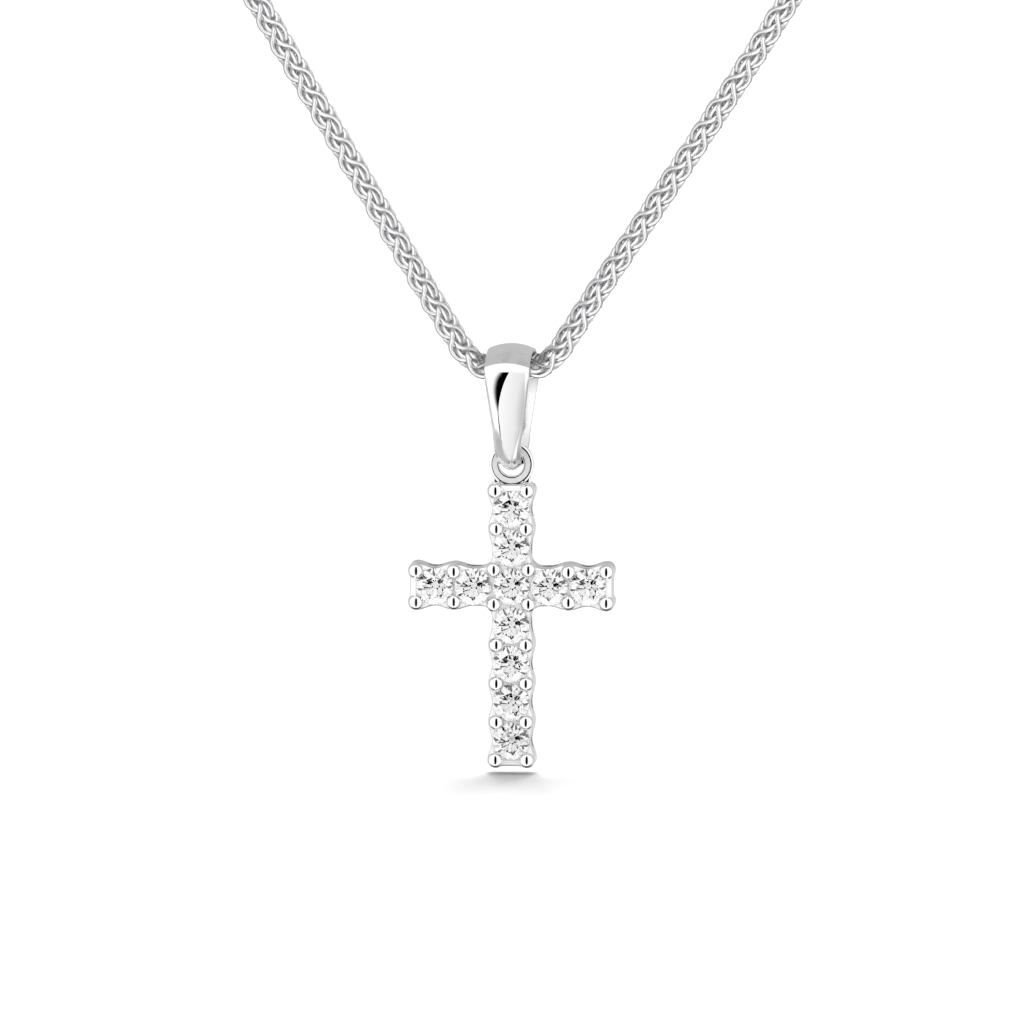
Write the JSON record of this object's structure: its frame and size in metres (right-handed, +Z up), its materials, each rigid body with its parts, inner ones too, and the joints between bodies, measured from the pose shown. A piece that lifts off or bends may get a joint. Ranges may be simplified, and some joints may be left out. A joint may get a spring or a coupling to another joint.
{
  "type": "cross pendant on a chain",
  "caption": "Cross pendant of round stones in shared prongs, on a teardrop bail and a closed wheat chain that goes round the neck.",
  "frame": {"origin": "middle of the clasp, where the chain rests on the nape", "axes": "+Z up, +X to the right as the picture shows it, and the cross faces -Y"},
  "size_m": [0.1186, 0.1212, 0.1304],
  "materials": {
    "white_metal": "mirror polished white metal",
    "chain_metal": "polished white metal wire",
    "stone": "faceted colourless stone"
  },
  "bodies": {
    "necklace": {"chain": "chain_metal", "clasp": "white_metal"},
    "bail": {"bail": "white_metal"},
    "cross": {"cross_setting": "white_metal", "stone_centre": "stone", "stone_above_1": "stone", "stone_above_2": "stone", "stone_below_1": "stone", "stone_below_2": "stone", "stone_below_3": "stone", "stone_below_4": "stone", "stone_left_1": "stone", "stone_left_2": "stone", "stone_right_1": "stone", "stone_right_2": "stone"}
  },
  "joints": [
    {"name": "bail_swing", "type": "hinge", "parent": "necklace", "child": "bail", "pos_m": [0, -0.118, -0.1083], "axis": [0.9914, -0.1305, 0], "range_deg": [-60, 60]},
    {"name": "cross_sway", "type": "hinge", "parent": "bail", "child": "cross", "pos_m": [0, -0.118, -0.11296], "axis": [0, 1, 0], "range_deg": [-40, 40]}
  ]
}
